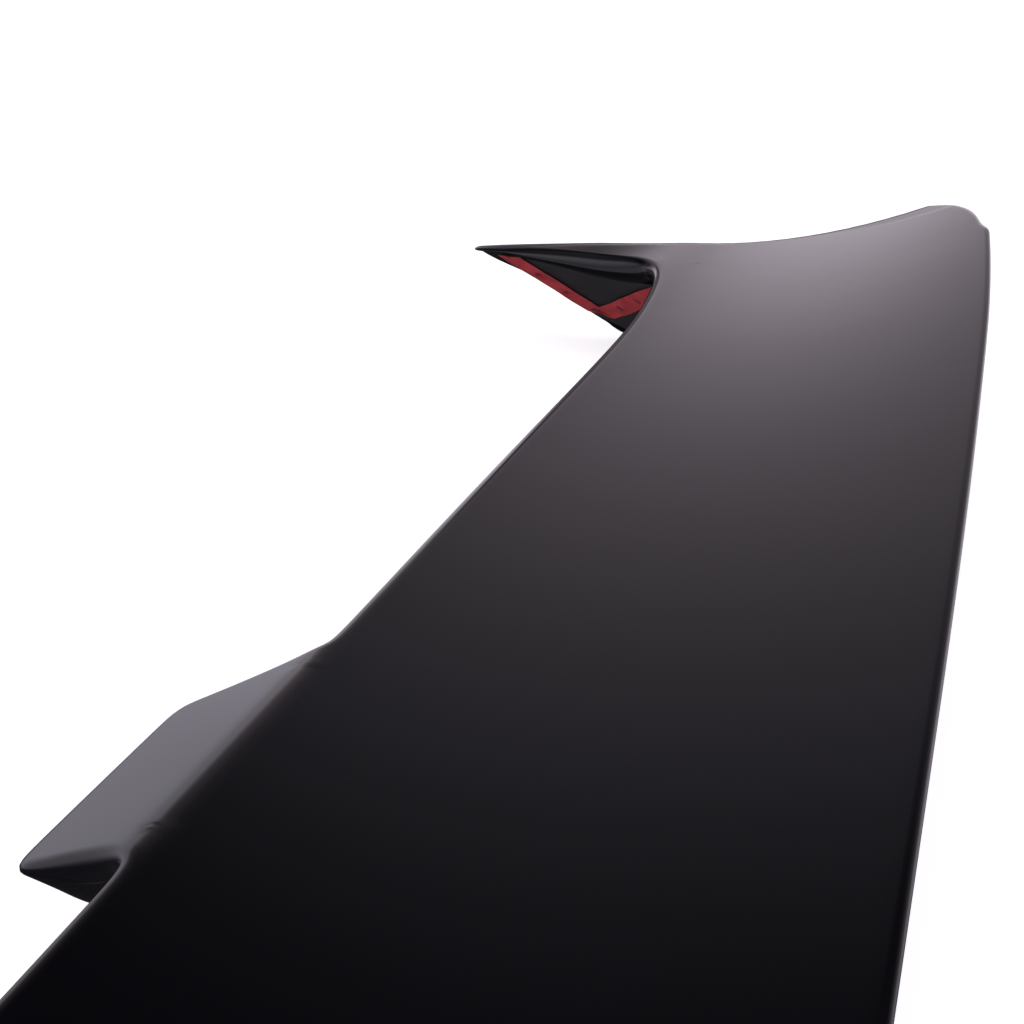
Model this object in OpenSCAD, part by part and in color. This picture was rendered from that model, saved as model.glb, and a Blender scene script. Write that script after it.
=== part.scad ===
/* [Blade] */
// front edge to rear edge at the middle of the wing, along the blade
blade_chord = 189; // [140:1:260]
// height of the blade section at its front edge
blade_t = 12; // [8:0.5:30]
// height of the rear rim
rim_t = 4.5; // [3:0.5:10]
// how far the nose of the blade section runs ahead of its flat top
nose_len = 6.5; // [3:0.5:30]
// rise of the rear edge above the front edge at the middle
kick_mid = 20; // [0:1:40]
// extra rise of the rear edge at the two tips
kick_tip = 30; // [0:1:50]
// moulded wall of the two skins
wall = 3; // [2:0.1:4]

/* [Tips] */
// distance from the middle to the start of the turned down tip, at the front
bend_x = 578; // [400:1:700]
// radius of the bend where the tip turns down
bend_r = 18; // [10:1:40]
// angle the tip turns down through
bend_a = 80; // [45:1:85]
// how far the end foot reaches ahead of the blade
horn_reach = 147; // [100:1:180]

/* [Centre foot] */
// blade angle above the mounting plane
deck_tilt = 3; // [0:0.5:25]
// reach of the foot ahead of the blade, to its flat front edge
foot_reach = 48; // [30:1:70]
// width of the foot at its front edge
foot_w = 86; // [60:1:140]
// fall of the foot top for each millimetre forward
foot_slope = 0.56; // [0.3:0.01:0.8]

/* [Fastening] */
// thickness of the panel under the centre foot
panel_t = 3; // [3:0.5:6]
// thickness of the panels under the end feet
end_panel_t = 2; // [1.5:0.5:4]
// width of the adhesive strips
tape_w = 15; // [8:1:20]
// foam core thickness
foam_t = 1.0; // [0.6:0.1:2]
// peel-off liner thickness
liner_t = 0.25; // [0.1:0.05:0.5]
// stud thread diameter
stud_d = 6; // [4:1:8]
// stud length below the mounting face
stud_len = 22; // [10:1:40]
// distance between the two studs, one behind the other
stud_gap = 60; // [30:1:80]
// diameter of the flat stud heads
head_d = 17; // [12:1:24]
// thickness of the flat stud heads
head_t = 1.8; // [1:0.1:2.5]

/* [Look] */
// paint colour
paint = "#141316"; // [#141316:black, #6b6f76:grey, #f0f0f0:white]
// base panel colour
panel_colour = "#1e1d20"; // [#1e1d20:dark, #55555a:grey]
// liner colour
liner_colour = "#a8313a"; // [#a8313a:red, #2f6db5:blue]

/* [Hidden] */

gap = 0.1;                       // half of the bond line between the skins
bond = 0.1;                      // bond line over the base panels
te_y = 3 - blade_chord;          // rear row of the skin grid
le_y = -5;                       // front row of the skin grid, blade part
fold = 2;                        // where the foot top starts to fall
hw = foot_w / 2;
back_g = 0.40;                   // where the feet end, as a share of the way forward
floor_front = -foot_slope * (foot_reach - fold) - 3;  // foot floor under its front edge
pad_up = [0.668, -0.155, 0.728]; // normal of the end foot floor, right side
pad_at = [564, 64, -12];         // a point on the end foot floor
panel_z = foam_t + liner_t;      // underside of the centre panel
foot_back = te_y + (back_g + 0.08) * (foot_reach - te_y);
floor_back = floor_front + tan(deck_tilt) * (foot_back - foot_reach);
front_y = foot_reach * cos(deck_tilt) + floor_front * sin(deck_tilt);
back_y = foot_back * cos(deck_tilt) + floor_back * sin(deck_tilt);
fore_row = -(front_y + back_y) / 2;
lift_row = foot_reach * sin(deck_tilt) - floor_front * cos(deck_tilt)
           + panel_z + panel_t + bond;
base_l = front_y - back_y - 10;  // centre panel, front to rear
base_w = foot_w - 12;            // centre panel, side to side
neck_d = stud_d + 2;             // plain collar of the stud, through panel and seal

// ---- one half of the plan outline ------------------------------------------------
// each station: front edge x, y, rear edge x, y, rounding depth, rounding squareness
tip_c = [560, -20];
function tip_rear(a) = tip_c + [137 * sin(a), (te_y + 36) * cos(a)];
function rear_y(x) = te_y + 13 * pow(min(x / 575, 1), 3.5);
function stn(fx, fy, rx, b, n) = [fx, fy, rx, rear_y(rx), b, n];
function tip_stn(fx, fy, k, b) = [fx, fy, tip_rear(15 * k)[0], tip_rear(15 * k)[1], b, 2];
stations = [
    stn(0, foot_reach, 0, 4, 2.5),
    stn(hw - 9, foot_reach, hw - 9, 4, 2.5),
    stn(hw - 2, foot_reach - 0.5, hw - 2, 4, 2.5),
    stn(hw - 1, foot_reach - 5, hw - 1, 4, 3),
    stn(hw + 4, 12, hw + 4, 4.5, 3),
    stn(hw + 11, -4, hw + 11, 6, 3),
    stn(hw + 29, le_y, hw + 29, nose_len, 3),
    stn(200, le_y, 200, nose_len, 3),
    stn(380, le_y - 3, 380, nose_len, 3),
    stn(440, le_y - 1.5, 430, nose_len, 3),
    stn(500, le_y + 4.5, 465, nose_len, 3),
    stn(535, le_y + 11, 495, nose_len, 3),
    stn(559, 17, 511, 8, 2.5),
    stn(567, 45, 524, 12, 2),
    stn(571, 108, 537, 9, 2),
    stn(573, horn_reach - 9, 549, 5, 2),
    tip_stn(578, horn_reach, 0, 3),
    tip_stn(593, horn_reach - 9, 1, 2),
    tip_stn(615, 108, 2, 2),
    tip_stn(651, 68, 3, 2),
    tip_stn(669, 57, 4, 2),
    tip_stn(682, 30, 5, 2),
    [697, -15, 697, -25, 2, 2]];

// cubic B-spline along the stations, two columns of points to a span
ns = len(stations);
function mirror_stn(c) = [-c[0], c[1], -c[2], c[3], c[4], c[5]];
function ctrl(i) = i < 0 ? mirror_stn(stations[-i])
                 : i < ns ? stations[i] : 2 * stations[ns - 1] - stations[ns - 2];
half = [for (i = [0:ns - 1])
        each [(ctrl(i - 1) + 4 * ctrl(i) + ctrl(i + 1)) / 6,
              if (i < ns - 1)
                  (ctrl(i - 1) + 23 * ctrl(i) + 23 * ctrl(i + 1) + ctrl(i + 2)) / 48]];
nh = len(half);

// unit vector out of the front or rear edge, in the plan
function unit(v) = v / norm(v);
function xy(c, k) = [c[k], c[k + 1]];
function out_dir(i, k) =
    let (a = xy(half[max(i - 1, 0)], k), b = xy(half[min(i + 1, nh - 1)], k), d = unit(b - a))
    i == 0 ? [0, k == 0 ? 1 : -1]
    : i == nh - 1 ? unit([1, k == 0 ? 0.3 : -0.3])
    : k == 0 ? [-d[1], d[0]] : [d[1], -d[0]];

// ---- surface rules ---------------------------------------------------------------
function clip(v, a, b) = min(max(v, a), b);
function step(v) = let (c = clip(v, 0, 1)) c * c * (3 - 2 * c);
function soft(v, w) = (v + sqrt(v * v + w * w)) / 2;
function ramp(v, w) = v > 20 * w ? v : w * ln(1 + exp(v / w));

// height of the top surface before the tip is turned down
function top_z(s, y) =
    let (e = clip(-y / blade_chord, 0, 1.05),
         k = kick_mid + kick_tip * pow(clip(s / 620, 0, 1), 2),
         foot = 1 - step((s - hw - 10) / 30),
         horn = s > 400 ? pow(clip((y - 60) / 90, 0, 1.2), 2) : 0,
         lean = s > 400 ? 0.12 * step((y - 15) / 50) * clip(s - 581, -25, 12) : 0)
    k * pow(clip((e - 0.03) / 0.97, 0, 2), 1.9)
    - foot_slope * ramp(y - fold, 1.7) * foot - 7 * horn + lean;

// the tip bends down past a line that sweeps outward toward the rear; along the horn the
// line is drawn in and the radius grows
function horn_k(y) = step((y - 5) / 50);
function bend_at(y) = bend_x + soft(26 - 0.28 * y, 8) - 10 * horn_k(y);
function bend_rad(y) = bend_r + 16 * horn_k(y);
function bend_ph(s, y) = clip((s - bend_at(y)) / bend_rad(y) * 180 / PI, 0, bend_a);
function up_dir(s, y) = let (p = bend_ph(s, y)) [sin(p), 0, cos(p)];
function top_pt(s, y) =
    let (p = bend_ph(s, y), b = bend_at(y), r = bend_rad(y), z = top_z(s, y),
         l = max(s - b - r * bend_a * PI / 180, 0))
    [min(s, b) + r * sin(p) + l * cos(bend_a), y,
     z * cos(p) - r * (1 - cos(p)) - l * sin(bend_a)];

// depth from the top surface to the underside; o shrinks the feet for the inner face
function blade_depth(g, fx) =
    let (f = blade_t + (5 - blade_t) * step((fx - 600) / 97))
    rim_t + (f - rim_t) * (1 - pow(1 - g, 1.7)) + 12 * g * (1 - g) * (1 - step((fx - 560) / 40));
function back_mask(g, o) = step((g - back_g - o / 230) / 0.08);
function depth(s, y, g, fx, o) =
    let (b = blade_depth(g, fx),
         mc = (1 - step((s - hw - 1 + o) / 8)) * back_mask(g, o),
         floor_z = floor_front + tan(deck_tilt) * (y - foot_reach),
         me = step((s - 550 - 0.2 * min(y, 0) - o) / 8) * back_mask(g, o)
              * (1 - step((fx - 684) / 10)),
         pad = (top_pt(s, y) - pad_at) * pad_up / (up_dir(s, y) * pad_up))
    max(2.4, b + (top_z(s, y) - floor_z - b) * mc + (pad - b) * me);

// ---- one closed ring of each skin ------------------------------------------------
rows = [0, 0.07, 0.15, 0.24, 0.33, 0.39, 0.42, 0.45, 0.48, 0.52, 0.6, 0.7, 0.8, 0.88, 0.94, 1];
turn = [67.5, 45, 22.5, 0];
function w_at(t) = min(wall, 0.4 * t);
function at(p, d, n) = p - d * n;

// edge points: k = 0 front, 2 rear; side = 1 upper, -1 lower; o = 0 outer face, wall inner face
function edge(i, k, side, o) =
    let (c = half[i], e = xy(c, k), g = k == 0 ? 1 : 0, n = k == 0 ? c[5] : 2,
         b0 = k == 0 ? c[4] : 3.5, t0 = depth(e[0], e[1], g, c[0], 0),
         ti = depth(e[0], e[1], g, c[0], o), w = o > 0 ? w_at(min(t0, ti)) : 0,
         b = o > 0 ? max(b0 - wall, 0.25 * b0) : b0,
         mid_d = (o > 0 ? ti : t0) / 2, h = mid_d - w, v = out_dir(i, k))
    [for (a = turn)
        let (q = e + v * b * pow(cos(a), 2 / n),
             d = mid_d - side * (h * pow(sin(a), 2 / n) + (a == 0 ? gap : 0)))
        at(top_pt(q[0], q[1]), d, up_dir(q[0], q[1]))];

function face(i, side, o) =
    [for (g = rows)
        let (c = half[i], q = xy(c, 2) * (1 - g) + xy(c, 0) * g,
             t0 = depth(q[0], q[1], g, c[0], 0), ti = depth(q[0], q[1], g, c[0], o),
             w = o > 0 ? w_at(min(t0, ti)) : 0,
             d = side > 0 ? w : (o > 0 ? ti : t0) - w)
        at(top_pt(q[0], q[1]), d, up_dir(q[0], q[1]))];

function flip(v) = [for (i = [len(v) - 1:-1:0]) v[i]];
function ring(i, side) = concat(
    flip(edge(i, 2, side, 0)), face(i, side, 0), edge(i, 0, side, 0),
    flip(edge(i, 0, side, wall)), flip(face(i, side, wall)), edge(i, 2, side, wall));

// blade frame to the mounting frame: tilt, then lift the floor onto the panel
function lay(p) = [p[0], p[1] * cos(deck_tilt) + p[2] * sin(deck_tilt) + fore_row,
                   -p[1] * sin(deck_tilt) + p[2] * cos(deck_tilt) + lift_row];
function mirr(p) = [-p[0], p[1], p[2]];

module skin(side) {
    right = [for (i = [0:nh - 1]) [for (p = ring(i, side)) lay(p)]];
    left = [for (i = [nh - 1:-1:1]) [for (p = right[i]) mirr(p)]];
    all = concat(left, right);
    m = len(all[0]);
    n = len(all);
    pts = [for (r = all) each r];
    sides = [for (i = [0:n - 2]) for (j = [0:m - 1])
        let (a = i * m + j, b = i * m + (j + 1) % m) each
        [[a, a + m, b + m], [a, b + m, b]]];
    // the tip ends are closed strip by strip between outer and inner face
    h = m / 2;
    cap0 = [for (j = [0:h - 2]) each [[j, j + 1, m - 1 - j], [j + 1, m - 2 - j, m - 1 - j]]];
    e = (n - 1) * m;
    cap1 = [for (t = cap0) [e + t[2], e + t[1], e + t[0]]];
    faces = concat(sides, cap0, cap1);
    polyhedron(points = pts, faces = side > 0 ? [for (f = faces) flip(f)] : faces,
               convexity = 10);
}

// ---- base panels and adhesive strips ----------------------------------------------
// local axes of the right end foot floor: x outward, y forward, z up out of the floor
pn = unit(pad_up);
py = unit([0, 1, 0] - pn[1] * pn);
px = cross(py, pn);
// corners of the panel, from the horn's tip round the outer side
pad_plan = [[6, 76], [71, 4], [88, -8], [86, -52], [79, -78], [-4, -50]];

// row frame placement of things drawn on the end foot floor, right or left
module on_pad(left) {
    z0 = lay([0, 0, 0]);
    o = lay(pad_at);
    a = lay(px) - z0;
    b = lay(py) - z0;
    c = lay(pn) - z0;
    mirror([left ? 1 : 0, 0, 0])
        multmatrix([[a[0], b[0], c[0], o[0]], [a[1], b[1], c[1], o[1]],
                    [a[2], b[2], c[2], o[2]], [0, 0, 0, 1]]) children();
}

// a layer under the floor, starting z below the skin and t thick
module under(left, z, t) {
    on_pad(left) translate([0, 0, -bond - z - t]) linear_extrude(t) children();
}
module pad_outline() { offset(r = 5) offset(delta = -7) polygon(pad_plan); }
module end_panel(left) { color(panel_colour) under(left, 0, end_panel_t) pad_outline(); }

// a strip about the line from a to b, its ends cut at a slant of m0 and m1
module strip(a, b, m0, m1) {
    d = unit(b - a);
    l = norm(b - a);
    h = tape_w / 2;
    translate(a) rotate(atan2(d[1], d[0]))
        polygon([[-m0 * h, -h], [l - m1 * h, -h], [l + m1 * h, h], [m0 * h, h]]);
}
module outer_strip() { strip([4, 56.6], [59.8, 1.6], -0.6, -0.9); }
module rear_strip() { strip([60.5, 0.3], [0.8, -52.2], 0.6, 0); }
module foam(left) { color("#2b2b2d") under(left, end_panel_t, foam_t) children(); }
module liner(left) { color(liner_colour) under(left, end_panel_t + foam_t, liner_t) children(); }

// strips under the centre panel: two across, two lengthwise between them
module across(s) {
    translate([0, s * (base_l / 2 - 2 - tape_w / 2)]) square([base_w - 4, tape_w], center = true);
}
module along(s) {
    translate([s * (base_w / 2 - 2 - tape_w / 2), 0])
        square([tape_w, base_l - 6 - 2 * tape_w], center = true);
}
module c_foam() { color("#2b2b2d") translate([0, 0, liner_t]) linear_extrude(foam_t) children(); }
module c_liner() { color(liner_colour) linear_extrude(liner_t) children(); }

module base_plate() {
    translate([0, 0, panel_z]) difference() {
        linear_extrude(panel_t) offset(r = 8) square([base_w - 16, base_l - 16], center = true);
        for (s = [1, -1]) translate([0, s * stud_gap / 2, 0]) {
            translate([0, 0, -1]) cylinder(d = neck_d + 0.4, h = panel_t + 2, $fn = 48);
            translate([0, 0, panel_t - head_t - 0.1]) cylinder(d = head_d + 0.6, h = 3, $fn = 64);
        }
    }
}

// flat headed stud, its head held between the panel and the floor of the skin
module stud(s) {
    color("#b9bcc2") translate([0, s * stud_gap / 2, 0]) {
        translate([0, 0, panel_z + panel_t - head_t - 0.05])
            cylinder(d = head_d, h = head_t, $fn = 64);
        cylinder(d = neck_d, h = panel_z + panel_t - head_t, $fn = 48);
        translate([0, 0, -stud_len + 1]) cylinder(d = stud_d, h = stud_len - 1, $fn = 48);
        translate([0, 0, -stud_len]) cylinder(d1 = stud_d - 2, d2 = stud_d, h = 1, $fn = 48);
    }
}
module seal(s) {
    color("#2b2b2d") translate([0, s * stud_gap / 2, 0]) difference() {
        cylinder(d = 14, h = panel_z, $fn = 64);
        translate([0, 0, -1]) cylinder(d = neck_d + 0.4, h = panel_z + 2, $fn = 48);
    }
}

// ---- nodes -------------------------------------------------------------------------
module upper_skin() { color(paint) skin(1); }
module lower_skin() { color(paint) skin(-1); }
module centre_base_panel() { color(panel_colour) base_plate(); }
module right_base_panel() { end_panel(false); }
module left_base_panel() { end_panel(true); }
module right_outer_foam() { foam(false) outer_strip(); }
module right_outer_liner() { liner(false) outer_strip(); }
module right_rear_foam() { foam(false) rear_strip(); }
module right_rear_liner() { liner(false) rear_strip(); }
module left_outer_foam() { foam(true) outer_strip(); }
module left_outer_liner() { liner(true) outer_strip(); }
module left_rear_foam() { foam(true) rear_strip(); }
module left_rear_liner() { liner(true) rear_strip(); }
module centre_front_foam() { c_foam() across(1); }
module centre_front_liner() { c_liner() across(1); }
module centre_rear_foam() { c_foam() across(-1); }
module centre_rear_liner() { c_liner() across(-1); }
module centre_right_foam() { c_foam() along(1); }
module centre_right_liner() { c_liner() along(1); }
module centre_left_foam() { c_foam() along(-1); }
module centre_left_liner() { c_liner() along(-1); }
module front_stud() { stud(1); }
module rear_stud() { stud(-1); }
module front_stud_seal() { seal(1); }
module rear_stud_seal() { seal(-1); }

upper_skin();
lower_skin();
centre_base_panel();
right_base_panel();
left_base_panel();
right_outer_foam();
right_outer_liner();
right_rear_foam();
right_rear_liner();
left_outer_foam();
left_outer_liner();
left_rear_foam();
left_rear_liner();
centre_front_foam();
centre_front_liner();
centre_rear_foam();
centre_rear_liner();
centre_right_foam();
centre_right_liner();
centre_left_foam();
centre_left_liner();
front_stud();
rear_stud();
front_stud_seal();
rear_stud_seal();
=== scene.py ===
"""Pedestal rear wing: two painted skins, three base panels, adhesive strips under their
red liner, and the two studs of the centre foot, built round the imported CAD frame."""

import math

import bpy
import numpy as np
from mathutils import Matrix, Vector


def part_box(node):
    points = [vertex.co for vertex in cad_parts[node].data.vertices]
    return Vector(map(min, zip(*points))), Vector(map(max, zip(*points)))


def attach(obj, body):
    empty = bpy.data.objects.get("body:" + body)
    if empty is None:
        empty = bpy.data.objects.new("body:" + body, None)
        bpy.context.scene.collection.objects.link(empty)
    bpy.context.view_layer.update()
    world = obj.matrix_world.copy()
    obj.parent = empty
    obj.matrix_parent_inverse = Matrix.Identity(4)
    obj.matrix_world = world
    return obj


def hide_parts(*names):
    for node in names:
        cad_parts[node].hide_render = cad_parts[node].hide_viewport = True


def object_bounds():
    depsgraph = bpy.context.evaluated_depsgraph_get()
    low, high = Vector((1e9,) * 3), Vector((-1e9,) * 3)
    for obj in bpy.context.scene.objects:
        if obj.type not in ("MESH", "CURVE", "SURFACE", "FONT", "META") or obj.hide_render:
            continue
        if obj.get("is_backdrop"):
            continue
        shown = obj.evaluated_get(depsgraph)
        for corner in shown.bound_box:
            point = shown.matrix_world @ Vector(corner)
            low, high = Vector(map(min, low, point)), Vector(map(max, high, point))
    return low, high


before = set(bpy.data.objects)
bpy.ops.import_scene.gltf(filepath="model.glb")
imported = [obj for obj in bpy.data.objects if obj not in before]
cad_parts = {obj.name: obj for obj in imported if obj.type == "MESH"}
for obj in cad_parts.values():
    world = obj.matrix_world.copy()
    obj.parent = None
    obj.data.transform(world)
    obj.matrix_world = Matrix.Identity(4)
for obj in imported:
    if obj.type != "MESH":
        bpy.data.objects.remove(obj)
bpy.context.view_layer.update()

# ---- Painted skins: plan outline ---------------------------------------------------------
# The wing is moulded in two thin skins, bonded along the nose and the rear rim. Their
# plan is one half outline, mirrored: the centre foot, the blade, the hook of the end foot,
# its pointed horn and the turned down tip. Lengths are millimetres in the blade's own
# frame: X to the right, Y forward from the front edge, Z up from the blade.
MM = 0.001
CHORD = 189
SKIN_WALL = 3
RIM_DEPTH = 4.5
FRONT_DEPTH = 12
NOSE_LENGTH = 6.5
FRONT_ROW = -5
REAR_ROW = 3 - CHORD
FOOT_HALF = 43
FOOT_REACH = 48
HORN_REACH = 147
TIP_TURN = (560, -20)
TIP_REACH = 137


def rear_row(x):
    """Rear edge at x: straight in the middle, bowed forward toward the tip by a power law."""
    return REAR_ROW + 13 * min(x / 575, 1) ** 3.5


def station(front_x, front_y, rear_x, depth, squareness):
    """One station of the outline: front edge point, rear edge point, how far the edge
    rounding stands out and how square it is (2 is an ellipse)."""
    return (front_x, front_y, rear_x, rear_row(rear_x), depth, squareness)


def tip_station(front_x, front_y, turn, depth):
    """A station whose rear point lies on the quarter ellipse round the tip, turn x 15 deg."""
    a = math.radians(15 * turn)
    return (front_x, front_y, TIP_TURN[0] + TIP_REACH * math.sin(a),
            TIP_TURN[1] + (REAR_ROW + 36) * math.cos(a), depth, 2)


W, F = FOOT_HALF, FRONT_ROW
STATIONS = np.array([
    station(0, FOOT_REACH, 0, 4, 2.5),
    station(W - 9, FOOT_REACH, W - 9, 4, 2.5),
    station(W - 2, FOOT_REACH - 0.5, W - 2, 4, 2.5),
    station(W - 1, FOOT_REACH - 5, W - 1, 4, 3),
    station(W + 4, 12, W + 4, 4.5, 3),
    station(W + 11, -4, W + 11, 6, 3),
    station(W + 29, F, W + 29, NOSE_LENGTH, 3),
    station(200, F, 200, NOSE_LENGTH, 3),
    station(380, F - 3, 380, NOSE_LENGTH, 3),
    station(440, F - 1.5, 430, NOSE_LENGTH, 3),
    station(500, F + 4.5, 465, NOSE_LENGTH, 3),
    station(535, F + 11, 495, NOSE_LENGTH, 3),
    station(559, 17, 511, 8, 2.5),
    station(567, 45, 524, 12, 2),
    station(571, 108, 537, 9, 2),
    station(573, HORN_REACH - 9, 549, 5, 2),
    tip_station(578, HORN_REACH, 0, 3),
    tip_station(593, HORN_REACH - 9, 1, 2),
    tip_station(615, 108, 2, 2),
    tip_station(651, 68, 3, 2),
    tip_station(669, 57, 4, 2),
    tip_station(682, 30, 5, 2),
    (697, -15, 697, -25, 2, 2)], float)
# columns of points between neighbouring stations, closer where a wall turns down
SPLITS = [4, 4, 5, 8, 9, 9, 8, 10, 10, 8, 9, 24, 16, 12, 10, 8, 9, 12, 12, 10, 10, 8]


def outline_columns():
    """Cubic B-spline along the stations, sampled SPLITS times a span. The first station is
    mirrored across the middle and the last one continued, so the curve reaches both."""
    mirrored = STATIONS[1] * [-1, 1, -1, 1, 1, 1]
    p = np.vstack([mirrored, STATIONS, 2 * STATIONS[-1] - STATIONS[-2]])
    spans = []
    for i, n in enumerate(SPLITS):
        u = (np.arange(n) / n)[:, None]
        weights = ((1 - u) ** 3, 3 * u**3 - 6 * u**2 + 4, 1 + 3 * u + 3 * u**2 - 3 * u**3, u**3)
        spans.append(sum(w * q for w, q in zip(weights, p[i:i + 4])) / 6)
    return np.vstack(spans + [STATIONS[-1:]])


COLUMNS = outline_columns()


def outward(k):
    """Unit vectors out of the front (k 0) or rear (k 2) edge of the plan, one a column:
    the edge's own direction turned a quarter turn."""
    d = np.gradient(COLUMNS[:, k:k + 2], axis=0)
    side = 1 if k == 0 else -1
    v = side * np.stack([-d[:, 1], d[:, 0]], -1)
    v[0] = (0, side)
    v[-1] = (1, 0.3 * side)
    return v / np.linalg.norm(v, axis=1)[:, None]


# ---- Painted skins: surface --------------------------------------------------------------
# The top is one surface: flat at the front, rising to the rear rim and more toward the
# tips, folded down over the centre foot, and bent through 80 degrees at the two ends. The
# underside follows it at the depth of the blade section, and opens into the three feet.
KICK_MIDDLE, KICK_TIP = 20, 30
FOOT_SLOPE = 0.56
FOLD = 2
BEND_START, BEND_RADIUS, BEND_ANGLE = 578, 18, math.radians(80)
DECK_TILT = math.radians(3)
FEET_BACK = 0.40
FLOOR_FRONT = -FOOT_SLOPE * (FOOT_REACH - FOLD) - 3
FLOOR_UP = np.array([0.668, -0.155, 0.728])
FLOOR_AT = np.array([564, 64, -12])


def smooth(v):
    """Smooth step from 0 to 1: 3c^2 - 2c^3 with v held between 0 and 1."""
    c = np.clip(v, 0, 1)
    return c * c * (3 - 2 * c)


def top_height(x, y):
    """Height of the top before the tips are bent: a power of the distance behind the front
    edge, less the slope of the centre foot ahead of it, less a dip along the horn; the top
    of the horn also leans inward."""
    back = np.clip(-y / CHORD, 0, 1.05)
    kick = KICK_MIDDLE + KICK_TIP * np.clip(x / 620, 0, 1) ** 2
    on_foot = 1 - smooth((x - FOOT_HALF - 10) / 30)
    fall = 1.7 * np.logaddexp(0, (y - FOLD) / 1.7)
    dip = 7 * np.clip((y - 60) / 90, 0, 1.2) ** 2
    leaning = 0.12 * smooth((y - 15) / 50) * np.clip(x - 581, -25, 12)
    return (kick * np.clip((back - 0.03) / 0.97, 0, 2) ** 1.9
            - FOOT_SLOPE * fall * on_foot + (leaning - dip) * (x > 400))


def bend(y):
    """Where the tip starts to turn down, and the radius it turns at: swept outward behind,
    and drawn in with a larger radius along the horn, whose ridge is at its inner edge."""
    v = 26 - 0.28 * y
    horn = smooth((y - 5) / 50)
    return (BEND_START + (v + np.sqrt(v * v + 64)) / 2 - 10 * horn, BEND_RADIUS + 16 * horn)


def up_at(x, y):
    """Outward normal of the bend: upright before the bend line, turned by the arc length
    past it over the radius."""
    line, radius = bend(y)
    a = np.clip((x - line) / radius, 0, BEND_ANGLE)
    return np.stack([np.sin(a), 0 * a, np.cos(a)], -1)


def top_point(x, y):
    """Point of the top surface: along the plan to the bend line, round the arc, then
    straight on down the turned tip, with the height carried along."""
    (line, radius), z = bend(y), top_height(x, y)
    a = np.clip((x - line) / radius, 0, BEND_ANGLE)
    past = np.clip(x - line - radius * BEND_ANGLE, 0, None)
    return np.stack([
        np.minimum(x, line) + radius * np.sin(a) + past * math.cos(BEND_ANGLE), y + 0 * x,
        z * np.cos(a) - radius * (1 - np.cos(a)) - past * math.sin(BEND_ANGLE)], -1)


def section_depth(x, y, g, front_x, shrink):
    """Depth of the moulding under the top: the blade section, which thins to the rear rim,
    blended into the flat floors of the centre foot and the end foot. shrink moves the
    walls of the feet inward for the inner face."""
    front = FRONT_DEPTH + (5 - FRONT_DEPTH) * smooth((front_x - 600) / 97)
    blade = (RIM_DEPTH + (front - RIM_DEPTH) * (1 - (1 - g) ** 1.7)
             + 12 * g * (1 - g) * (1 - smooth((front_x - 560) / 40)))
    ahead = smooth((g - FEET_BACK - shrink / 230) / 0.08)
    centre = (1 - smooth((x - FOOT_HALF - 1 + shrink) / 8)) * ahead
    floor = FLOOR_FRONT + math.tan(DECK_TILT) * (y - FOOT_REACH)
    end = (smooth((x - 550 - 0.2 * np.minimum(y, 0) - shrink) / 8) * ahead
           * (1 - smooth((front_x - 684) / 10)))
    to_pad = (top_point(x, y) - FLOOR_AT) @ FLOOR_UP / (up_at(x, y) @ FLOOR_UP)
    return np.maximum(2.4, blade + (top_height(x, y) - floor - blade) * centre
                      + (to_pad - blade) * end)


def skin_rings(side, rows, turns, inner):
    """One face of a skin as rings of points, a ring a column: the rear rim's quarter, the
    rows across the plan, and the nose's quarter, each quarter a superellipse. side is 1
    for the upper skin and -1 for the lower one; inner gives the face inside the wing."""
    shrink = SKIN_WALL if inner else 0
    front_x = COLUMNS[:, 0:1]

    def wall(x, y, g):
        """Depth of this face's middle and its half height, at plan points."""
        outer = section_depth(x, y, g, front_x, 0)
        own = section_depth(x, y, g, front_x, shrink)
        thick = np.minimum(SKIN_WALL, 0.4 * np.minimum(outer, own)) if inner else 0 * own
        return own / 2, own / 2 - thick

    def quarter(k):
        edge, v = COLUMNS[:, k:k + 2], outward(k)
        n = COLUMNS[:, 5:6] if k == 0 else 2
        reach = COLUMNS[:, 4:5] if k == 0 else np.full_like(front_x, 3.5)
        if inner:
            reach = np.maximum(reach - SKIN_WALL, 0.25 * reach)
        mid, half = wall(edge[:, 0:1], edge[:, 1:2], 1.0 if k == 0 else 0.0)
        q = edge[:, None] + v[:, None] * (reach * np.cos(turns) ** (2 / n))[..., None]
        bond_line = 0.1 * (turns == 0)
        d = mid - side * (half * np.sin(turns) ** (2 / n) + bond_line)
        return top_point(q[..., 0], q[..., 1]) - d[..., None] * up_at(q[..., 0], q[..., 1])

    q = COLUMNS[:, None, 2:4] * (1 - rows[:, None]) + COLUMNS[:, None, 0:2] * rows[:, None]
    mid, half = wall(q[..., 0], q[..., 1], rows[None])
    d = mid - side * half
    face = top_point(q[..., 0], q[..., 1]) - d[..., None] * up_at(q[..., 0], q[..., 1])
    return np.concatenate([quarter(2)[:, ::-1], face, quarter(0)], 1)


# The blade frame leans back to stand the feet on the mounting plane, and is moved so that
# the floor of the centre foot lies on its base panel and the foot's middle at Y 0.
ADHESIVE = 0.1
lean = np.array([[1, 0, 0],
                 [0, math.cos(DECK_TILT), -math.sin(DECK_TILT)],
                 [0, math.sin(DECK_TILT), math.cos(DECK_TILT)]])
foot_back = REAR_ROW + (FEET_BACK + 0.08) * (FOOT_REACH - REAR_ROW)
floor_rise = math.tan(DECK_TILT) * (foot_back - FOOT_REACH)
floor_ends = np.array([[0, FOOT_REACH, FLOOR_FRONT],
                       [0, foot_back, FLOOR_FRONT + floor_rise]])
panel_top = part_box("centre_base_panel")[1][2] / MM
shift = np.array([0, -(floor_ends @ lean)[:, 1].mean(),
                  panel_top + ADHESIVE - (floor_ends @ lean)[0, 2]])


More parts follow.
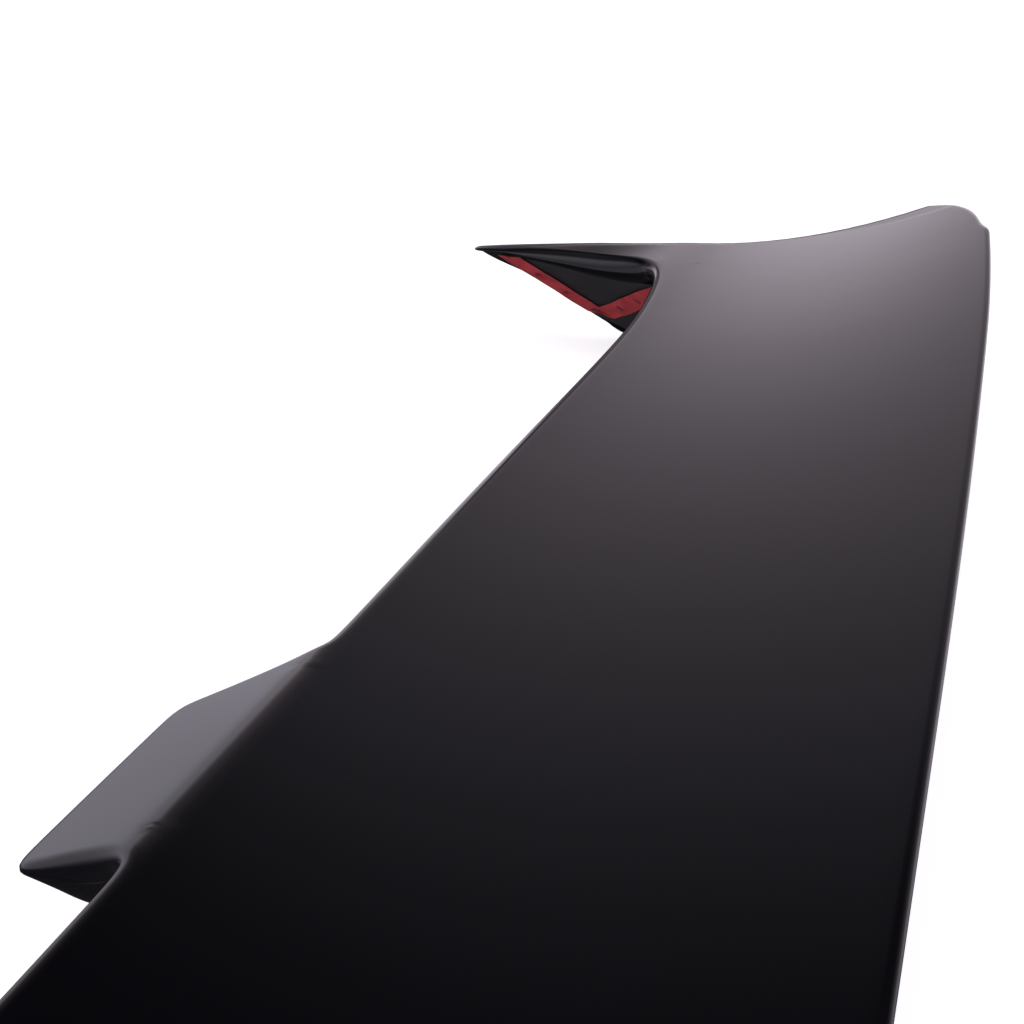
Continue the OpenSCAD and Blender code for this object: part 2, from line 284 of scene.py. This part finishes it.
def place(points):
    """Blade frame in millimetres to the frame of the CAD in metres."""
    return (points @ lean + shift) * MM


def grid_piece(name, rings, uv=None):
    """Closed tube from rings of points (rings x points x 3), its two ends closed by one face
    each. Neighbouring rings are joined by a quad between each pair of points."""
    n, m = rings.shape[:2]
    index = np.arange(n * m).reshape(n, m)
    nxt = np.roll(index, -1, axis=1)
    quads = np.stack([index[:-1], nxt[:-1], nxt[1:], index[1:]], -1).reshape(-1, 4)
    mesh = bpy.data.meshes.new(name)
    mesh.from_pydata(rings.reshape(-1, 3), [],
                     quads.tolist() + [index[0, ::-1].tolist(), index[-1].tolist()])
    if signed_volume(mesh) < 0:
        mesh.flip_normals()
    if uv is not None:
        corner = np.empty(len(mesh.loops), int)
        mesh.loops.foreach_get("vertex_index", corner)
        layer = mesh.uv_layers.new(name="along")
        layer.uv.foreach_set("vector", uv.reshape(-1, 2)[corner].ravel())
    mesh.shade_smooth()
    mesh.set_sharp_from_angle(angle=math.radians(38))
    obj = bpy.data.objects.new(name, mesh)
    bpy.context.scene.collection.objects.link(obj)
    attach(obj, "root")
    return obj


def signed_volume(mesh):
    """Sum over triangles of the volume each makes with the origin: below 0 is inside out."""
    mesh.calc_loop_triangles()
    v = np.empty(len(mesh.vertices) * 3)
    mesh.vertices.foreach_get("co", v)
    t = np.empty(len(mesh.loop_triangles) * 3, int)
    mesh.loop_triangles.foreach_get("vertices", t)
    a, b, c = v.reshape(-1, 3)[t.reshape(-1, 3)].transpose(1, 0, 2)
    return np.einsum("ij,ij->", a, np.cross(b, c)) / 6


def whole_skin(name, side):
    """A skin from tip to tip: its outer face, closely sampled, and its inner face."""
    close = np.concatenate([np.linspace(0, 0.37, 26), np.linspace(0.385, 0.5, 26),
                            np.linspace(0.52, 1, 34)])
    wide = np.concatenate([np.linspace(0, 0.38, 8), np.linspace(0.41, 0.52, 9),
                           np.linspace(0.6, 1, 8)])
    outer = skin_rings(side, close, np.radians(np.linspace(84, 0, 13)), False)
    inner = skin_rings(side, wide, np.radians(np.linspace(72, 0, 5)), True)
    right = place(np.concatenate([outer, inner[:, ::-1]], 1))
    left = (right * [-1, 1, 1])[:0:-1]
    return grid_piece(name, np.concatenate([left, right]))


upper = whole_skin("upper_skin_moulding", 1)
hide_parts("upper_skin")
lower = whole_skin("lower_skin_moulding", -1)
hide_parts("lower_skin")


# ---- Painted skins: paint ----------------------------------------------------------------
# Two-pack solid black over primed plastic, under clear coat. It shows as a deep, slightly
# violet black with soft orange peel and a little dust in the lacquer.
def linear(hex_colour):
    """sRGB hex to linear red, green, blue and alpha."""
    c = [int(hex_colour[i:i + 2], 16) / 255 for i in (1, 3, 5)]
    return [v / 12.92 if v <= 0.04045 else ((v + 0.055) / 1.055) ** 2.4 for v in c] + [1]


def add(tree, kind, settings=(), inputs=(), links=()):
    """Adds a node: settings are its own values, inputs its socket values, links its socket
    to another node's output, given as (node, output name)."""
    node = tree.nodes.new("ShaderNode" + kind)
    for key, value in dict(settings).items():
        setattr(node, key, value)
    for key, value in dict(inputs).items():
        node.inputs[key].default_value = value
    for key, (source, out) in dict(links).items():
        tree.links.new(source.outputs[out], node.inputs[key])
    return node


def new_material(name):
    """Empty material with its output: returns the material, its tree and the output."""
    material = bpy.data.materials.new(name)
    material.use_nodes = True
    tree = material.node_tree
    tree.nodes.clear()
    return material, tree, add(tree, "OutputMaterial")


paint, tree, out = new_material("black_two_pack_paint")
where = add(tree, "TexCoord")
cloud = add(tree, "TexNoise", inputs={"Scale": 14, "Detail": 3},
            links={"Vector": (where, "Object")})
tone = add(tree, "ValToRGB", links={"Fac": (cloud, "Fac")})
tone.color_ramp.elements[0].color = linear("#070609")
tone.color_ramp.elements[1].color = linear("#0e0c11")
# dust nibs: small spots 0.6 mm across, about one in each 30 mm cell
nibs = add(tree, "TexVoronoi", inputs={"Scale": 32}, links={"Vector": (where, "Object")})
nib = add(tree, "MapRange", inputs={"From Min": 0.0, "From Max": 0.02, "To Min": 1, "To Max": 0},
          links={"Value": (nibs, "Distance")})
rough = add(tree, "MapRange", inputs={"To Min": 0.35, "To Max": 0.5},
            links={"Value": (cloud, "Fac")})
# orange peel, 3 mm across, and a longer moulding wave, 60 mm across
peel = add(tree, "TexNoise", inputs={"Scale": 330, "Detail": 1, "Roughness": 0.4},
           links={"Vector": (where, "Object")})
peel_bump = add(tree, "Bump", inputs={"Strength": 0.05, "Distance": 0.00005},
                links={"Height": (peel, "Fac")})
wave = add(tree, "TexNoise", inputs={"Scale": 16, "Detail": 1},
           links={"Vector": (where, "Object")})
wave_bump = add(tree, "Bump", inputs={"Strength": 0.12, "Distance": 0.0004},
                links={"Height": (wave, "Fac"), "Normal": (peel_bump, "Normal")})
nib_bump = add(tree, "Bump", inputs={"Strength": 0.25, "Distance": 0.0001},
               links={"Height": (nib, "Result"), "Normal": (wave_bump, "Normal")})
# the lacquer alone mirrors: the colour under it is flat
coat = add(tree, "BsdfPrincipled",
           inputs={"Specular IOR Level": 0.0, "Coat Weight": 1.0, "Coat IOR": 1.5,
                   "Coat Roughness": 0.09},
           links={"Base Color": (tone, "Color"), "Roughness": (rough, "Result"),
                  "Normal": (nib_bump, "Normal"), "Coat Normal": (nib_bump, "Normal")})
tree.links.new(coat.outputs["BSDF"], out.inputs["Surface"])
for skin in (upper, lower):
    skin.data.materials.append(paint)


# ---- Base panels -------------------------------------------------------------------------
# Unpainted ABS plates that close the undersides of the feet. The two end ones are six
# sided plates bonded to the slanting floors; the centre one is drilled for the studs.
END_PANEL, END_INSET, END_CORNER, END_RIM = 2, 2, 5, 0.6
# corners from the horn's point round the outer side, in the floor's own plan
END_FLOOR = np.array([(6, 76), (71, 4), (88, -8), (86, -52), (79, -78), (-4, -50)], float)
floor_n = FLOOR_UP / np.linalg.norm(FLOOR_UP)
floor_y = np.array([0, 1, 0]) - floor_n[1] * floor_n
floor_y /= np.linalg.norm(floor_y)
floor_x = np.cross(floor_y, floor_n)


def on_floor(points):
    """Points drawn on the right end foot's floor (x outward, y forward, z up out of it) to
    the frame of the CAD."""
    return place(FLOOR_AT + points @ np.array([floor_x, floor_y, floor_n]))


def rounded_outline(corners, inset, radius, steps=9):
    """Outline set in from a polygon's sides, its corners turned into arcs: each arc runs
    from the outward normal of one side to that of the next."""
    sides = np.roll(corners, -1, axis=0) - corners
    sides /= np.linalg.norm(sides, axis=1)[:, None]
    area = np.cross(corners, np.roll(corners, -1, axis=0)).sum()
    normals = np.stack([sides[:, 1], -sides[:, 0]], -1) * np.sign(area)
    before = np.roll(normals, 1, axis=0)
    # the corner of the lines moved in by inset + radius
    centre = corners - (inset + radius) * (before + normals) / (
        1 + (before * normals).sum(1))[:, None]
    a0 = np.arctan2(before[:, 1], before[:, 0])
    turn = (np.arctan2(normals[:, 1], normals[:, 0]) - a0 + math.pi) % (2 * math.pi) - math.pi
    a = a0[:, None] + turn[:, None] * np.linspace(0, 1, steps)
    arcs = np.stack([np.cos(a), np.sin(a)], -1)
    return (centre[:, None] + radius * arcs).reshape(-1, 2), arcs.reshape(-1, 2)


def slab_rings(outline, normals, low, high, edge):
    """Plate on an outline between two heights, its rims rounded by a quarter circle: rings
    of the outline moved in along its normals by the circle's rule."""
    a = np.radians(np.linspace(0, 90, 6))
    inset = edge * (1 - np.sin(a))
    z = edge * (1 - np.cos(a))
    inset = np.concatenate([inset, inset[::-1]])
    z = np.concatenate([low + z, high - z[::-1]])
    xy = outline[None] - inset[:, None, None] * normals[None]
    return np.concatenate([xy, np.broadcast_to(z[:, None, None], xy.shape[:2] + (1,))], -1)


# moulded ABS straight from the tool: dark grey, matt, with a fine grain
panel, tree, out = new_material("unpainted_abs")
where = add(tree, "TexCoord")
# tool grain drawn as cells of 0.7 mm, coarser than the real 0.3 mm so that it shows
grain = add(tree, "TexVoronoi", inputs={"Scale": 1400}, links={"Vector": (where, "Object")})
drift = add(tree, "TexNoise", inputs={"Scale": 45, "Detail": 4},
            links={"Vector": (where, "Object")})
tone = add(tree, "ValToRGB", links={"Fac": (drift, "Fac")})
tone.color_ramp.elements[0].color = linear("#1b191c")
tone.color_ramp.elements[1].color = linear("#2a272b")
rough = add(tree, "MapRange", inputs={"To Min": 0.42, "To Max": 0.6},
            links={"Value": (drift, "Fac")})
bump = add(tree, "Bump", inputs={"Strength": 0.3, "Distance": 0.0001},
           links={"Height": (grain, "Distance")})
abs_face = add(tree, "BsdfPrincipled", inputs={"IOR": 1.53},
               links={"Base Color": (tone, "Color"), "Roughness": (rough, "Result"),
                      "Normal": (bump, "Normal")})
tree.links.new(abs_face.outputs["BSDF"], out.inputs["Surface"])

plan, normals = rounded_outline(END_FLOOR, END_INSET, END_CORNER)
rings = slab_rings(plan, normals, -ADHESIVE - END_PANEL, -ADHESIVE, END_RIM)
for side, sign in (("right", 1), ("left", -1)):
    piece = grid_piece(side + "_foot_plate", on_floor(rings) * [sign, 1, 1])
    piece.data.materials.append(panel)
    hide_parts(side + "_base_panel")
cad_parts["centre_base_panel"].material_slots[0].material = panel


# ---- Adhesive strips ---------------------------------------------------------------------
# Black closed-cell foam tape under a red polyester film that is peeled off to fit the wing.
# The end feet carry two strips in a V; the centre foot has four round its edge.
TAPE_WIDTH, FOAM, FILM = 15, 1.0, 0.25
FILM_SPILL = 0.3

# cut polyethylene foam: dull black, with open cells of 0.5 mm at its edge, their pits darkened by
# painted shade
foam, tree, out = new_material("closed_cell_foam")
where = add(tree, "TexCoord")
cells_and_pit_shade = add(tree, "TexVoronoi", inputs={"Scale": 2200}, links={"Vector": (where, "Object")})
# each cell is drawn darker in its middle, where the bump sinks it: painted shade in the cell pits
tone = add(tree, "ValToRGB", links={"Fac": (cells_and_pit_shade, "Distance")})
tone.color_ramp.elements[0].color = linear("#060606")
tone.color_ramp.elements[1].color = linear("#141415")
bump = add(tree, "Bump", inputs={"Strength": 0.6, "Distance": 0.00015},
           links={"Height": (cells_and_pit_shade, "Distance")})
foam_face = add(tree, "BsdfPrincipled", inputs={"Roughness": 0.92, "Sheen Weight": 0.1},
                links={"Base Color": (tone, "Color"), "Normal": (bump, "Normal")})
tree.links.new(foam_face.outputs["BSDF"], out.inputs["Surface"])

# thin coloured release film: a smooth deep red with a soft shine
film, tree, out = new_material("red_polyester_film")
along = add(tree, "UVMap", settings={"uv_map": "along"})
where = add(tree, "TexCoord")
# the film shows the foam's light and dark patches through it
patch = add(tree, "TexNoise", inputs={"Scale": 120, "Detail": 3},
            links={"Vector": (where, "Object")})
tone = add(tree, "ValToRGB", links={"Fac": (patch, "Fac")})
tone.color_ramp.elements[0].color = linear("#7c151d")
tone.color_ramp.elements[0].position = 0.3
tone.color_ramp.elements[1].color = linear("#9c2831")
tone.color_ramp.elements[1].position = 0.7
# plain dark registration bars, 3 mm wide, one each 24 mm of the film
parts = add(tree, "SeparateXYZ", links={"Vector": (along, "UV")})
beat = add(tree, "Math", settings={"operation": "PINGPONG"},
           inputs={1: 12}, links={0: (parts, "X")})
bar_x = add(tree, "MapRange", inputs={"From Min": 1.2, "From Max": 1.8, "To Min": 1, "To Max": 0},
            links={"Value": (beat, "Value")})
off = add(tree, "Math", settings={"operation": "ABSOLUTE"}, links={0: (parts, "Y")})
bar_y = add(tree, "MapRange", inputs={"From Min": 2.6, "From Max": 3.0, "To Min": 1, "To Max": 0},
            links={"Value": (off, "Value")})
bar = add(tree, "Math", settings={"operation": "MULTIPLY"},
          links={0: (bar_x, "Result"), 1: (bar_y, "Result")})
faint = add(tree, "Math", settings={"operation": "MULTIPLY"}, inputs={1: 0.75},
            links={0: (bar, "Value")})
marked = add(tree, "Mix", settings={"data_type": "RGBA"}, inputs={7: linear("#2c1014")},
             links={"Factor": (faint, "Value"), 6: (tone, "Color")})
crease = add(tree, "Bump", inputs={"Strength": 0.2, "Distance": 0.0003},
             links={"Height": (patch, "Fac")})
film_face = add(tree, "BsdfPrincipled",
                inputs={"Roughness": 0.32, "IOR": 1.6, "Coat Weight": 0.4,
                        "Coat Roughness": 0.15},
                links={"Base Color": (marked, 2), "Normal": (crease, "Normal")})
tree.links.new(film_face.outputs["BSDF"], out.inputs["Surface"])


def strip_rings(start, end, mitres, low, high, spill, seed):
    """Strip whose middle line runs from start to end, its ends cut at a slant: at v across,
    an end moves along by its mitre times v. A rounded rectangle is carried along the line,
    and the film's two long edges wander by two slow sines, as tape that was laid by hand.
    Returns the rings in the plane's own millimetres, and the distances along and across
    for the UV map."""
    length = np.linalg.norm(end - start)
    d = (end - start) / length
    n = np.array([-d[1], d[0]])
    t = np.linspace(0, 1, 90)[:, None]
    phase = np.random.default_rng(seed).uniform(0, 6.28, 4)
    a = np.linspace(0, 2 * np.pi, 33)[:-1] + 0.1
    box = np.stack([np.sign(np.cos(a)) * np.abs(np.cos(a)) ** 0.12,
                    np.sign(np.sin(a)) * np.abs(np.sin(a)) ** 0.5], -1)
    u = length * t
    wander = [0.35 * np.sin(u / 9 + phase[k]) + 0.2 * np.sin(u / 4.1 + phase[k + 2])
              for k in (0, 1)]
    v = box[:, 0] * (TAPE_WIDTH / 2 + spill) + np.where(box[:, 0] > 0, *wander) * (spill > 0)
    u = -spill + mitres[0] * v + t * (length + 2 * spill + (mitres[1] - mitres[0]) * v)
    z = np.broadcast_to((low + high) / 2 + box[:, 1] * (high - low) / 2, v.shape)
    xy = start + u[..., None] * d + v[..., None] * n
    return np.concatenate([xy, z[..., None]], -1), np.stack([u, v], -1)


def lay_strip(name, start, end, mitres, under, to_frame, seed):
    """One strip of foam with its film: two pieces, named after the CAD's two nodes."""
    layers = (("foam", "core", foam, 0, FOAM, 0),
              ("liner", "film", film, FOAM, FOAM + FILM, FILM_SPILL))
    for layer, word, material, top, bottom, spill in layers:
        rings, uv = strip_rings(np.array(start), np.array(end), mitres,
                                under - bottom, under - top, spill, seed)
        piece = grid_piece(name + "_" + word, to_frame(rings), uv)
        piece.data.materials.append(material)
        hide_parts(name + "_" + layer)


under_panel = -ADHESIVE - END_PANEL
for side, sign in (("right", 1), ("left", -1)):
    def to_foot(points, sign=sign):
        """The end foot's floor to the frame of the CAD, mirrored for the left foot."""
        return on_floor(points) * [sign, 1, 1]

    # outer strip from the horn's point to the outer corner, rear strip from there inward
    lay_strip(side + "_outer", (4.0, 56.6), (59.8, 1.6), (-0.6, -0.9), under_panel, to_foot, 3)
    lay_strip(side + "_rear", (60.5, 0.3), (0.8, -52.2), (0.6, 0), under_panel, to_foot, 5)

# centre foot: middle lines of the four strips, 2 mm inside the panel's edge
STRIP_INSET, STRIP_GAP = 2, 1
base_low, base_high = (np.array(v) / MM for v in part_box("centre_base_panel"))
mid_x, mid_y = (base_high - base_low)[:2] / 2 - STRIP_INSET - TAPE_WIDTH / 2
end_x, end_y = mid_x + TAPE_WIDTH / 2, mid_y - TAPE_WIDTH / 2 - STRIP_GAP


def to_centre(points):
    """The mounting plane's millimetres to the frame of the CAD."""
    return points * MM


for name, start, end, seed in (("centre_front", (-end_x, mid_y), (end_x, mid_y), 7),
                               ("centre_rear", (end_x, -mid_y), (-end_x, -mid_y), 8),
                               ("centre_right", (mid_x, end_y), (mid_x, -end_y), 9),
                               ("centre_left", (-mid_x, -end_y), (-mid_x, end_y), 10)):
    lay_strip(name, start, end, (0, 0), base_low[2], to_centre, seed)


# ---- Studs and seals ---------------------------------------------------------------------
# Zinc plated M6 studs, one behind the other, their flat heads held over the base panel.
# A soft rubber washer round each collar keeps water out of the hole in the lid.
PITCH, THREAD_DEPTH, THREAD_TOP = 1.0, 0.6, -1.2
HEAD_THICK, COLLAR, SHANK, POINT = 1.8, 4.0, 3.0, 1
SEAL_PLAY = 0.2

# clear zinc plating: bright grey metal, faintly clouded
zinc, tree, out = new_material("zinc_plated_steel")
where = add(tree, "TexCoord")
bloom = add(tree, "TexNoise", inputs={"Scale": 260, "Detail": 4},
            links={"Vector": (where, "Object")})
tone = add(tree, "ValToRGB", links={"Fac": (bloom, "Fac")})
tone.color_ramp.elements[0].color = linear("#9aa0a6")
tone.color_ramp.elements[1].color = linear("#c8cbc6")
rough = add(tree, "MapRange", inputs={"To Min": 0.22, "To Max": 0.42},
            links={"Value": (bloom, "Fac")})
plating = add(tree, "BsdfPrincipled", inputs={"Metallic": 1.0},
              links={"Base Color": (tone, "Color"), "Roughness": (rough, "Result")})
tree.links.new(plating.outputs["BSDF"], out.inputs["Surface"])

# moulded rubber: near black and dull, with a slight bloom
rubber, tree, out = new_material("epdm_rubber")
where = add(tree, "TexCoord")
bloom = add(tree, "TexNoise", inputs={"Scale": 500, "Detail": 5},
            links={"Vector": (where, "Object")})
tone = add(tree, "ValToRGB", links={"Fac": (bloom, "Fac")})
tone.color_ramp.elements[0].color = linear("#0e0e0e")
tone.color_ramp.elements[1].color = linear("#1c1c1d")
bump = add(tree, "Bump", inputs={"Strength": 0.4, "Distance": 0.0001},
           links={"Height": (bloom, "Fac")})
rubber_face = add(tree, "BsdfPrincipled", inputs={"Roughness": 0.8},
                  links={"Base Color": (tone, "Color"), "Normal": (bump, "Normal")})
tree.links.new(rubber_face.outputs["BSDF"], out.inputs["Surface"])


def lathe_rings(profile, centre, thread=None, steps=48):
    """A profile of (radius, height) turned about an upright axis. Below thread = (top,
    bottom) the radius is cut by a triangle wave of the height plus the turn, which winds
    down the shank as a screw thread."""
    a = np.linspace(0, 2 * np.pi, steps, endpoint=False)
    r = np.repeat(profile[:, :1], steps, 1)
    z = np.repeat(profile[:, 1:], steps, 1)
    if thread:
        winding = (z / PITCH - a / (2 * np.pi)) % 1
        cut = THREAD_DEPTH * np.abs(2 * winding - 1)
        r = r - np.where((z < thread[0]) & (z > thread[1]), cut, 0)
    return np.stack([r * np.cos(a) + centre[0], r * np.sin(a) + centre[1], z], -1)


for name, seal in (("front_stud", "front_stud_seal"), ("rear_stud", "rear_stud_seal")):
    low, high = (np.array(v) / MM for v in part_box(name))
    seal_low, seal_high = (np.array(v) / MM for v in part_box(seal))
    centre = (low + high)[:2] / 2
    head, point_top = (high - low)[0] / 2, low[2] + POINT
    head_under = high[2] - HEAD_THICK
    shape = [(0.2, high[2]), (head - 0.4, high[2]), (head, high[2] - 0.4),
             (head, head_under + 0.3), (head - 0.3, head_under),
             (COLLAR + 0.3, head_under), (COLLAR, head_under - 0.3),
             (COLLAR, 0.3), (COLLAR - 0.3, 0), (SHANK, 0)]
    shape += [(SHANK, z) for z in np.arange(-0.1, point_top, -0.1)]
    shape += [(SHANK, point_top), (SHANK - 1, low[2]), (0.2, low[2])]
    piece = grid_piece(name + "_threaded",
                       lathe_rings(np.array(shape), centre, (THREAD_TOP, point_top)) * MM)
    piece.data.materials.append(zinc)
    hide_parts(name)

    # washer: an upright oval section turned round the collar
    out_r, in_r = (seal_high - seal_low)[0] / 2, COLLAR + SEAL_PLAY
    t = np.linspace(0, 2 * np.pi, 25)
    thick = (seal_high - seal_low)[2] / 2
    ring = np.stack([
        (out_r + in_r) / 2 + (out_r - in_r) / 2 * np.sign(np.cos(t)) * np.abs(np.cos(t)) ** 0.25,
        seal_low[2] + thick + thick * np.sign(np.sin(t)) * np.abs(np.sin(t)) ** 0.6], -1)
    turned = lathe_rings(ring[:-1], centre).transpose(1, 0, 2)
    piece = grid_piece(name + "_washer", np.concatenate([turned, turned[:1]]) * MM)
    piece.data.materials.append(rubber)
    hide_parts(seal)


# ---- Studio ------------------------------------------------------------------------------
# White floor at the lowest point of the wing. The light is a soft dome: brightest in a band
# just over the horizon, falling away above it, so that the paint shows pale where it mirrors
# the band and near black where it mirrors the dark.
FLOOR_HALF, FLOOR_CLEARANCE, BACKDROP_RADIUS = 12, 0.0005, 11.5
low, high = (np.array(v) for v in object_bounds())
t = np.linspace(-FLOOR_HALF, FLOOR_HALF, 41)
flat_z = np.full((t.size, t.size), low[2] - FLOOR_CLEARANCE)
floor_points = np.stack(np.meshgrid(t, t, indexing="ij") + [flat_z], -1)
index = np.arange(t.size**2).reshape(t.size, t.size)
mesh = bpy.data.meshes.new("studio_floor")
mesh.from_pydata(floor_points.reshape(-1, 3), [], np.stack(
    [index[:-1, :-1], index[1:, :-1], index[1:, 1:], index[:-1, 1:]], -1).reshape(-1, 4).tolist())
studio_floor = bpy.data.objects.new("studio_floor", mesh)
bpy.context.scene.collection.objects.link(studio_floor)
studio_floor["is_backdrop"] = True
# the paint mirrors the dimmer room beyond the sheet, not the lit sheet itself
studio_floor.visible_glossy = False

# matt white vinyl, lit from below so that it reads as plain white
white, tree, out = new_material("white_studio_vinyl")
sheet = add(tree, "BsdfPrincipled",
            inputs={"Base Color": linear("#f4f3f4"), "Roughness": 0.7,
                    "Emission Color": linear("#ffffff"), "Emission Strength": 0.72})
tree.links.new(sheet.outputs["BSDF"], out.inputs["Surface"])
studio_floor.data.materials.append(white)

# plain white dome round it all, by longitude u and latitude v from -9 to just under 90
# degrees; it lights nothing and isn't mirrored
u, v = np.meshgrid(np.linspace(0, 2 * np.pi, 65)[:-1],
                   np.radians(np.linspace(-9, 90, 17) * 0.999), indexing="ij")
dome_points = BACKDROP_RADIUS * np.stack(
    [np.cos(v) * np.cos(u), np.cos(v) * np.sin(u), np.sin(v)], -1)
index = np.arange(u.size).reshape(u.shape)
around = np.roll(index, -1, axis=0)
mesh = bpy.data.meshes.new("studio_backdrop")
mesh.from_pydata(dome_points.reshape(-1, 3), [], np.stack(
    [index[:, :-1], index[:, 1:], around[:, 1:], around[:, :-1]], -1).reshape(-1, 4).tolist())
backdrop = bpy.data.objects.new("studio_backdrop", mesh)
bpy.context.scene.collection.objects.link(backdrop)
backdrop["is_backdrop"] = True
for ray in ("diffuse", "glossy", "transmission", "volume_scatter", "shadow"):
    setattr(backdrop, "visible_" + ray, False)
plain, tree, out = new_material("white_paper_backdrop")
paper = add(tree, "Emission", inputs={"Color": linear("#ffffff"), "Strength": 1.0})
tree.links.new(paper.outputs["Emission"], out.inputs["Surface"])
backdrop.data.materials.append(plain)

# sine of the elevation at which the full band ends, and the sine over which it falls by e
BAND_TOP, BAND_FALL = 0.19, 0.1


def band_level(sine):
    """Brightness of the dome at a sine of elevation: it rises out of the dark below to a
    full band, falls by a power of e onto a fainter shoulder, fades to dark at about 40
    degrees, and glows a little overhead."""
    below = 0.05 + 0.78 * smooth((sine + 0.46) / 0.3) + 0.17 * smooth(sine / 0.17)
    fall = 0.83 * np.exp(-np.maximum(sine - BAND_TOP, 0) / BAND_FALL)
    shoulder = 0.17 * (1 - smooth((sine - 0.37) / 0.28))
    return below * (fall + shoulder) + 0.3 * smooth((sine - 0.6) / 0.4)


world = bpy.data.worlds.new("soft_studio")
bpy.context.scene.world = world
world.use_nodes = True
tree = world.node_tree
tree.nodes.clear()
out = add(tree, "OutputWorld")
where = add(tree, "TexCoord")
split = add(tree, "SeparateXYZ", links={"Vector": (where, "Generated")})
# sine of the elevation, -1 to 1, to brightness
climb = add(tree, "MapRange", inputs={"From Min": -1, "From Max": 1},
            links={"Value": (split, "Z")})
dome = add(tree, "ValToRGB", links={"Fac": (climb, "Result")})
ramp = dome.color_ramp
ramp.elements[0].position, ramp.elements[0].color = 0.0, (0.05, 0.05, 0.05, 1)
ramp.elements[1].position, ramp.elements[1].color = 1.0, (0.3, 0.3, 0.3, 1)
for sine in np.linspace(-0.46, 0.78, 30):
    level = float(band_level(sine))
    element = ramp.elements.new((sine + 1) / 2)
    # rosy in the bright band, bluish below it and in the dark above it
    green, blue = (0.89, 1.0) if 0.05 < sine < 0.44 else (0.95, 1.1)
    element.color = (level, green * level, blue * level, 1)
# the band is full only within 28 degrees of +X, and 0.6 of that from 47 degrees on
level_dir = add(tree, "CombineXYZ", links={"X": (split, "X"), "Y": (split, "Y")})
unit_dir = add(tree, "VectorMath", settings={"operation": "NORMALIZE"},
               links={0: (level_dir, "Vector")})
toward = add(tree, "SeparateXYZ", links={"Vector": (unit_dir, "Vector")})
share = add(tree, "MapRange", settings={"interpolation_type": "SMOOTHSTEP"},
            inputs={"From Min": 0.68, "From Max": 0.88, "To Min": 0.6, "To Max": 1.0},
            links={"Value": (toward, "X")})
# low down, the band ends where it meets the dark: a wedge from 16 to 25 degrees off +X
rise = add(tree, "Math", settings={"operation": "SUBTRACT"},
           links={0: (toward, "Y"), 1: (split, "Z")})
before = add(tree, "MapRange", inputs={"From Min": 0.06, "From Max": 0.11, "To Min": 1,
                                       "To Max": 0.2}, links={"Value": (rise, "Value")})
after = add(tree, "MapRange", inputs={"From Min": 0.42, "From Max": 0.48},
            links={"Value": (toward, "Y")})
wedge = add(tree, "Math", settings={"operation": "MAXIMUM"},
            links={0: (before, "Result"), 1: (after, "Result")})
lit = add(tree, "Math", settings={"operation": "MULTIPLY"},
          links={0: (share, "Result"), 1: (wedge, "Value")})
strength = add(tree, "Math", settings={"operation": "MULTIPLY"}, inputs={1: 1.25},
               links={0: (lit, "Value")})
glow = add(tree, "Background",
           links={"Color": (dome, "Color"), "Strength": (strength, "Value")})
# a broad soft light high up on the -X side, which shows the form of the left half
behind = add(tree, "MapRange", settings={"interpolation_type": "SMOOTHSTEP"},
             inputs={"From Min": 0.45, "From Max": -0.35}, links={"Value": (toward, "X")})
height = add(tree, "MapRange", settings={"interpolation_type": "SMOOTHSTEP"},
             inputs={"From Min": 0.1, "From Max": 0.85}, links={"Value": (split, "Z")})
both = add(tree, "Math", settings={"operation": "MULTIPLY"},
           links={0: (behind, "Result"), 1: (height, "Result")})
soft = add(tree, "Background", inputs={"Color": linear("#f4f2ff")},
           links={"Strength": (both, "Value")})
whole = add(tree, "AddShader", links={0: (glow, "Background"), 1: (soft, "Background")})
tree.links.new(whole.outputs["Shader"], out.inputs["Surface"])

# ---- Camera ------------------------------------------------------------------------------
# Just over the left half of the blade, behind its front edge, looking along the wing to
# the right tip and down. The view's upright follows the blade's own upright.
CAMERA_AT = np.array([-300.39, -188.93, 232.16])
LOOK_FORWARD, LOOK_DOWN = math.radians(19.43), math.radians(24.90)
view = np.array([math.cos(LOOK_DOWN) * math.cos(LOOK_FORWARD),
                 math.cos(LOOK_DOWN) * math.sin(LOOK_FORWARD), -math.sin(LOOK_DOWN)])
right = np.array([math.sin(LOOK_FORWARD), -math.cos(LOOK_FORWARD), 0])
# rows: the view's right, its up, and back toward the eye, each in the blade's own frame
view_axes = np.stack([right, np.cross(right, view), -view])
turn = Matrix((view_axes @ lean).T.tolist()).to_4x4()
camera = bpy.data.objects.new("camera", bpy.data.cameras.new("camera"))
camera.data.lens = 50
camera.data.sensor_width = 36
camera.data.clip_start = 0.01
camera.matrix_world = Matrix.Translation(Vector(place(CAMERA_AT))) @ turn
bpy.context.scene.collection.objects.link(camera)
bpy.context.scene.camera = camera
bpy.context.scene.view_settings.view_transform = "Standard"
